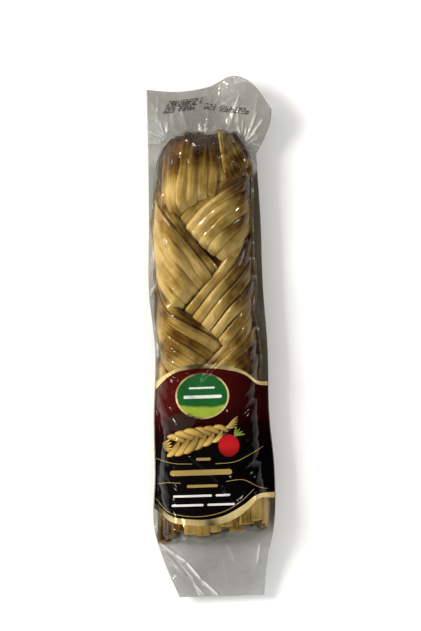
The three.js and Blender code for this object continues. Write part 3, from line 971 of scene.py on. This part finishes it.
band = dict(
    # edges of the printed field and of the foil above and below it
    goldTop=[(-33, -27.5), (-28.3, -23.9), (-17.7, -18.6), (-12.2, -17.3), (-3.9, -16.8), (8.1, -17.9),
             (19.6, -22.3), (24.9, -26.2), (29.9, -26.7)],
    fieldTop=[(-33, -32.4), (-29, -28.0), (-18.3, -20.6), (-12.2, -19.5), (-3.4, -19), (7.3, -20.1),
              (19.5, -23.9), (24.9, -28), (30.1, -28.9)],
    fieldBottom=[(-32.5, -91), (-24.2, -97.6), (-13.3, -99.8), (-2.9, -100), (3.8, -98.7), (15, -93.2),
                 (22.6, -88), (32.8, -86.9)],
    goldBottom=[(-32.6, -94), (-24.3, -100.6), (-13.4, -102.9), (0.9, -103.1), (9.2, -100.9), (18.2, -94.9),
                (23.1, -90.4), (32.7, -89.9)],
    lift=0.14, above=0.07,  # over the film, and each further layer of ink over the last
    maroon=(0.052, 0.0042, 0.003), wine=(0.014, 0.0015, 0.0013), black=(0.0028, 0.0024, 0.0024),
    gold=(0.78, 0.6, 0.27), goldInk=(0.44, 0.3, 0.09), white=(0.62, 0.61, 0.57),
    green=(0.01, 0.075, 0.018), lime=(0.23, 0.3, 0.03), red=(0.36, 0.01, 0.012), leafGreen=(0.2, 0.3, 0.05),
    straw=(0.5, 0.33, 0.085), crust=(0.13, 0.05, 0.009), char=(0.012, 0.007, 0.005),
    badge=(-4.9, -33.9, 13.6, 11.6),  # middle, half width and half height
    # plain bars where lettering would be: left, right, middle, thickness, how long each word is
    badgeBars=[(-12.0, 2.0, -29.6, 1.0, [6]), (-15.0, 5.6, -34.4, 1.7, [8])],
    goldBars=[(-9.3, -1.4, -67.9, 1.5, [4]), (-23.6, 9.8, -75.0, 2.9, [7]), (-14.6, 2.0, -82.2, 1.5, [6])],
    whiteBars=[(-22.2, 8.5, -87.4, 1.15, [8, 3]), (-23.2, 10.8, -92.3, 1.15, [7, 6])],
    goldLines=[[(-31.2, -66.8), (-22, -69.6), (-11.5, -70.3)],
               [(1, -70.6), (12, -69.6), (20, -66), (27.4, -62)],
               [(-30.5, -80.6), (-26, -80.0), (-18, -80.4)],
               [(6.5, -80.2), (15.4, -79.5), (24.7, -83.9), (29, -85)],
               [(-31.9, -88.6), (-25.7, -95.2), (-15.8, -98.0), (-3.7, -98.1), (6.2, -95.6), (15, -90.4),
                (21.4, -84.6)]],
    dish=(-17, -47.6, 8.6, 4.8),
    berry=(8.6, -61, 5.6, 6.0),
    plaitFrom=(-20.5, -59.5), plaitTo=(3.5, -54.0), crossings=6, tassels=5, sprigs=4,
)


def inkMaterial(name, colours, scale=30.0, metal=0.0, rough=0.09, shine=0.1, key="noise", rightwards=1.0):
    # printed ink under the film's gloss: colours run along a cloudy noise, or down the piece,
    # and darken by rightwards towards its right
    material, tree, out = startMaterial(name)
    crease = addGroup(tree, crinkle, Scale=150.0, Stretch=0.7)
    if key == "noise":
        where = addNode(tree, "ShaderNodeTexCoord").outputs["Object"]
        cloud = addNode(tree, "ShaderNodeTexNoise", {"Vector": where, "Scale": scale, "Detail": 3.0})
        run = cloud.outputs["Fac"]
    else:
        lie = addNode(tree, "ShaderNodeUVMap", uv_map="lie").outputs[0]
        parts = addNode(tree, "ShaderNodeSeparateXYZ", {0: lie})
        cloud = addMath(tree, "MULTIPLY", addMath(tree, "SUBTRACT", crease.outputs["Cloud"], 0.5), 0.25)
        run = addMath(tree, "ADD", parts.outputs["XY".index(key)], cloud)
    colour = addRamp(tree, run, colours)
    if rightwards < 1:
        lie = addNode(tree, "ShaderNodeUVMap", uv_map="lie").outputs[0]
        across = addNode(tree, "ShaderNodeSeparateXYZ", {0: lie}).outputs["X"]
        fade = addRamp(tree, across, [(0.15, (1, 1, 1)), (0.8, (rightwards,) * 3)])
        colour = addMixColor(tree, 1.0, colour, fade, "MULTIPLY")
    roughness = addRange(tree, crease.outputs["Cloud"], first=rough * 0.7, last=rough * 1.3)
    bump = addNode(tree, "ShaderNodeBump",
                   {"Height": crease.outputs["Height"], "Strength": 0.15, "Distance": 0.0004})
    body = addNode(tree, "ShaderNodeBsdfPrincipled",
                   {"Base Color": colour, "Roughness": roughness, "Metallic": metal,
                    "Specular IOR Level": shine, "Normal": bump.outputs[0]})
    tree.links.new(body.outputs[0], out.inputs["Surface"])
    return material


def darker(colour, share):
    return tuple(c * share for c in colour)


def allBars(rows):
    return [grid for row in rows for grid in bars(*row)]


def buildBand():
    b = band
    lift, more = b["lift"], b["above"]
    field = inkMaterial("Band ink", [(0.0, b["black"]), (0.42, b["black"]), (0.62, b["wine"]),
                                     (0.8, b["maroon"]), (1.0, b["maroon"])], key="Y", rightwards=0.4)
    drape("band_field", [between(b["fieldBottom"], b["fieldTop"], 150, 170)], field, lift)
    foil = inkMaterial("Gold foil", [(0.38, darker(b["gold"], 0.12)), (0.5, darker(b["gold"], 0.7)),
                                     (0.62, b["gold"])], scale=40.0, metal=0.4, rough=0.3)
    edges = [(b["fieldTop"], b["goldTop"]), (b["goldBottom"], b["fieldBottom"])]
    drape("band_foil", [between(low, high, 150, 8) for low, high in edges], foil, lift)
    goldInk = inkMaterial("Gold ink", [(0.35, darker(b["goldInk"], 0.8)), (0.65, b["goldInk"])], metal=0.3)
    goldLines = [stripe(row, 0.32) for row in b["goldLines"]]
    drape("band_gold_marks", goldLines + allBars(b["goldBars"]), goldInk, lift + more)
    paleInk = inkMaterial("Pale ink", [(0.35, darker(b["white"], 0.85)), (0.65, b["white"])])
    drape("band_pale_marks", allBars(b["whiteBars"]), paleInk, lift + more)
    buildBadge(foil, paleInk)
    buildPicture()


def buildBadge(foil, paleInk):
    # a plain oval in two greens with a foil rim
    b = band
    lift, more = b["lift"], b["above"]
    x, y, wide, tall = b["badge"]
    drape("badge_rim", [ring(x, y, wide - 0.1, tall - 0.1, 1.0)], foil, lift + more)
    green = inkMaterial("Badge green", [(0.0, b["lime"]), (0.2, b["lime"]), (0.27, b["green"]),
                                        (1.0, b["green"])], key="Y")
    drape("badge", [disc(x, y, wide, tall, cells=70)], green, lift + more)
    drape("badge_pale_marks", allBars(b["badgeBars"]), paleInk, lift + 2 * more)


def buildPicture():
    # a little plait, a dark dish behind it, a red berry and a few green blades
    b = band
    lift, more = b["lift"], b["above"]
    charInk = inkMaterial("Dark ink", [(0.3, b["char"]), (0.7, darker(b["char"], 2.5))])
    x, y, wide, tall = b["dish"]
    drape("picture_dish", [disc(x, y, wide, tall, 12, cells=36)], charInk, lift + more)
    plaitInk = inkMaterial("Picture straw", [(0.0, b["crust"]), (0.35, b["straw"]), (0.75, b["straw"]),
                                             (1.0, b["crust"])], key="Y", rightwards=0.45)
    leaves = []
    for k in range(b["crossings"]):
        t = k / (b["crossings"] - 1)
        x, y = [mix(start, end, t) for start, end in zip(b["plaitFrom"], b["plaitTo"])]
        size = 1.25 - 0.6 * abs(t - 0.3)
        leaves.append(leaf(x + 0.9, y + 2.4 * size, 4.9 * size, 1.9 * size, -20, 0.9))
        leaves.append(leaf(x - 0.9, y - 2.4 * size, 4.9 * size, 1.9 * size, 50, -0.9))
    for k in range(b["tassels"]):
        leaves.append(leaf(9.0 + 0.5 * k, -51.8 + 0.9 * k, 4.2, 0.5, 8 + 9 * k, 0.3))
        leaves.append(leaf(-24 - 0.3 * k, -62.6 + 1.2 * k, 2.6, 0.6, 160 + 12 * k, 0.2))
    for k, grid in enumerate(leaves):
        drape("picture_string_%02d" % (k + 1), [grid], plaitInk, lift + (2 + 0.25 * (k % 6)) * more)
    redInk = inkMaterial("Berry red", [(0.0, darker(b["red"], 0.35)), (0.5, b["red"]),
                                       (1.0, darker(b["red"], 0.8))], key="Y")
    x, y, wide, tall = b["berry"]
    drape("picture_berry", [disc(x, y, wide, tall, cells=32)], redInk, lift + 4 * more)
    leafInk = inkMaterial("Leaf green", [(0.3, b["leafGreen"]), (0.7, darker(b["leafGreen"], 0.4))])
    blades = [leaf(12.5 + 0.8 * k, -53.5 - 0.7 * k, 2.6, 0.5, 75 - 22 * k, 0.3) for k in range(b["sprigs"])]
    drape("picture_sprigs", blades, leafInk, lift + 5 * more)


buildBand()

code = dict(
    # rows of letters: left, right, height of the first letter's foot, slope, letter width, step, seed
    rows=[(-19.4, -0.6, 127.3, 0.08, 0.9, 1.5, 41), (-21.8, -3.4, 123.5, 0.11, 0.9, 1.5, 42),
          (1.0, 23.8, 125.4, -0.19, 1.25, 2.05, 43)],
    tall=2.7, lean=0.4, dot=0.23, strokes=4, skipped=0.07, lift=0.45,
    ink=(0.006, 0.006, 0.007), worn=(0.02, 0.02, 0.021),
)


def buildCode():
    # each letter is a few dotted strokes out of seven, picked at random, so that the rows spell nothing
    sides = [((0, 0), (1, 0)), ((0, 1), (1, 1)), ((0, 2), (1, 2)),
             ((0, 0), (0, 1)), ((0, 1), (0, 2)), ((1, 0), (1, 1)), ((1, 1), (1, 2))]
    dots = []
    for left, right, foot, slope, wide, step, seed in code["rows"]:
        own = np.random.default_rng(seed)
        for x in np.arange(left, right, step):
            if own.random() < code["skipped"]:
                continue
            for side in own.permutation(len(sides))[:code["strokes"]]:
                (u0, v0), (u1, v1) = sides[side]
                for t in np.linspace(0, 1, 4):
                    rise = mix(v0, v1, t) * code["tall"] / 2
                    across = x + mix(u0, u1, t) * wide + code["lean"] * rise
                    up = foot + slope * (x - left) + rise
                    dots.append(disc(across, up, code["dot"], code["dot"], cells=4))
    ink = inkMaterial("Code ink", [(0.3, code["ink"]), (0.7, code["worn"])], rough=0.5)
    drape("header_code", dots, ink, code["lift"])


buildCode()


tailFold = dict(
    top=-117.5, bottom=-142.6, outside=0.3,
    inner=[(-142.6, -9.5), (-133, -13.5), (-126, -18.5), (-117.5, -26.5)],
    # the fold's outer edge is painted white, a painted highlight
    lift=0.25, high=0.9, milk=0.42, edgeMilk=0.25, edgeHighlight=0.8, edgeFrom=0.9,
)


def buildTailFold(material):
    # the seal's edge folded back over the tail on its left
    look = tailFold
    t = np.linspace(0, 1, 40)[:, None]
    w = np.linspace(0, 1, 9)[None, :]
    y = mix(look["top"], look["bottom"], t)
    x = mix(readCurve(pouch["left"], y) + look["outside"], readCurve(look["inner"], y), w)
    y = y + 0 * x
    z = filmTop(x, y) + look["lift"] + look["high"] * np.sin(w * np.pi) ** 0.6 * smoothStep(t, 0, 0.25)
    faces = gridFaces(np.arange(x.size).reshape(x.shape).T).tolist()
    edge = (w > look["edgeFrom"]) + 0 * x
    marks = {"hazeAndShade": look["milk"] + look["edgeMilk"] * edge, "shade": 0 * x, "tail": 1 + 0 * x,
             "fold": look["edgeHighlight"] * edge}
    addMesh("tail_fold", np.stack([x, y, z], -1).reshape(-1, 3), faces, material,
            marks={key: values.ravel() for key, values in marks.items()})


buildTailFold(filmPiece.data.materials[0])
print("pouch: band, code and folded tail laid on")


stageLook = dict(
    # the stage is in metres
    floor=(0.92, 0.92, 0.91), world=0.62, dim=0.03, keyPower=11.5, fillPower=4.0, sparkPower=4.2,
    halfWide=1.8, front=-1.6, bendAt=0.9, bendRadius=0.5, wallTop=1.6,
    # small lamps that the film mirrors: name, place, size, share of the power
    sparks=[("spark left", (-0.8, 0.5, 0.66), (0.3, 0.06), 1.2),
            ("spark high", (-0.4, 0.55, 0.9), (0.16, 0.025), 0.6),
            ("spark low", (-0.95, -0.3, 0.5), (0.1, 0.1), 0.8),
            ("spark top", (0.1, 0.95, 0.42), (0.16, 0.06), 0.2),
            ("spark right", (0.8, 0.3, 0.5), (0.08, 0.1), 0.5),
            ("spark foot", (-0.4, -0.95, 0.55), (0.12, 0.08), 0.6)],
)


def buildStage():
    # a floor that bends up into a wall behind
    look = stageLook
    mesh = bpy.data.meshes.new("floor")
    at, radius = look["bendAt"], look["bendRadius"]
    profile = [(look["front"], 0.0), (at, 0.0)]
    profile += [(at + radius * math.sin(a), radius - radius * math.cos(a))
                for a in np.linspace(0.1, math.pi / 2, 10)]
    profile.append((at + radius, look["wallTop"]))
    points, faces = [], []
    for y, z in profile:
        points += [(-look["halfWide"], y, z), (look["halfWide"], y, z)]
    for k in range(len(profile) - 1):
        faces.append((2 * k, 2 * k + 1, 2 * k + 3, 2 * k + 2))
    mesh.from_pydata(points, [], faces)
    mesh.polygons.foreach_set("use_smooth", [True] * len(mesh.polygons))
    floor = bpy.data.objects.new("floor", mesh)
    bpy.context.collection.objects.link(floor)
    material, tree, out = startMaterial("Pale floor")
    where = addNode(tree, "ShaderNodeTexCoord").outputs["Object"]
    cloud = addNode(tree, "ShaderNodeTexNoise", {"Vector": where, "Scale": 3.0, "Detail": 3.0}).outputs["Fac"]
    colour = addRamp(tree, cloud, [(0.3, darker(look["floor"], 0.97)), (0.7, look["floor"])])
    body = addNode(tree, "ShaderNodeBsdfPrincipled", {"Base Color": colour, "Roughness": 0.7})
    tree.links.new(body.outputs[0], out.inputs["Surface"])
    mesh.materials.append(material)


def aim(thing, target, roll=0.0):
    way = (Vector(target) - thing.location).to_track_quat("-Z", "Y").to_matrix()
    thing.rotation_euler = (way @ Matrix.Rotation(roll, 3, "Z")).to_euler()


def addLight(name, at, size, power, colour, mirrored):
    # a mirrored lamp shows only as a glint; the others light the pack without showing in the film
    data = bpy.data.lights.new(name, "AREA")
    data.shape = "RECTANGLE"
    data.size, data.size_y = size
    data.energy = power
    data.color = colour
    light = bpy.data.objects.new(name, data)
    light.location = at
    light.visible_glossy = mirrored
    light.visible_diffuse = not mirrored
    bpy.context.collection.objects.link(light)
    aim(light, (0, 0.01, 0.01))


def buildLights():
    look = stageLook
    addLight("key", (-0.75, 0.25, 0.72), (0.5, 0.4), look["keyPower"], (1.0, 0.985, 0.96), mirrored=False)
    for name, at, size, share in look["sparks"]:
        addLight(name, at, size, look["sparkPower"] * share, (1.0, 0.99, 0.97), mirrored=True)
    addLight("fill", (0.5, -0.7, 0.9), (0.9, 0.7), look["fillPower"], (0.95, 0.97, 1.0), mirrored=False)
    world = bpy.data.worlds.new("soft room")
    world.use_nodes = True
    shade = world.node_tree.nodes["Background"]
    shade.inputs["Color"].default_value = (1.0, 0.985, 0.955, 1)
    # the room is dim in the film's reflections
    mirroredRays = addNode(world.node_tree, "ShaderNodeLightPath").outputs["Is Glossy Ray"]
    strength = addRange(world.node_tree, mirroredRays, first=look["world"], last=look["dim"])
    world.node_tree.links.new(strength, shade.inputs["Strength"])
    bpy.context.scene.world = world
    bpy.context.scene.view_settings.view_transform = "Standard"


view = dict(
    elevation=86, lens=100, sensor=36, roll=-1.79,
    height=0.3461, targetX=0.9, targetY=10.35,  # metres that the picture is tall, and the place it looks at
)


def buildCamera():
    data = bpy.data.cameras.new("camera")
    data.lens = view["lens"]
    data.sensor_width = view["sensor"]
    camera = bpy.data.objects.new("camera", data)
    bpy.context.collection.objects.link(camera)
    target = Vector(place([[view["targetX"], view["targetY"], 0]])[0])
    far = view["height"] * view["lens"] / view["sensor"]
    tilt = math.radians(view["elevation"])
    camera.location = target + Vector((0, -math.cos(tilt), math.sin(tilt))) * far
    aim(camera, target, math.radians(view["roll"]))
    bpy.context.scene.camera = camera


buildStage()
buildLights()
buildCamera()
print("stage: floor, lights and camera set")
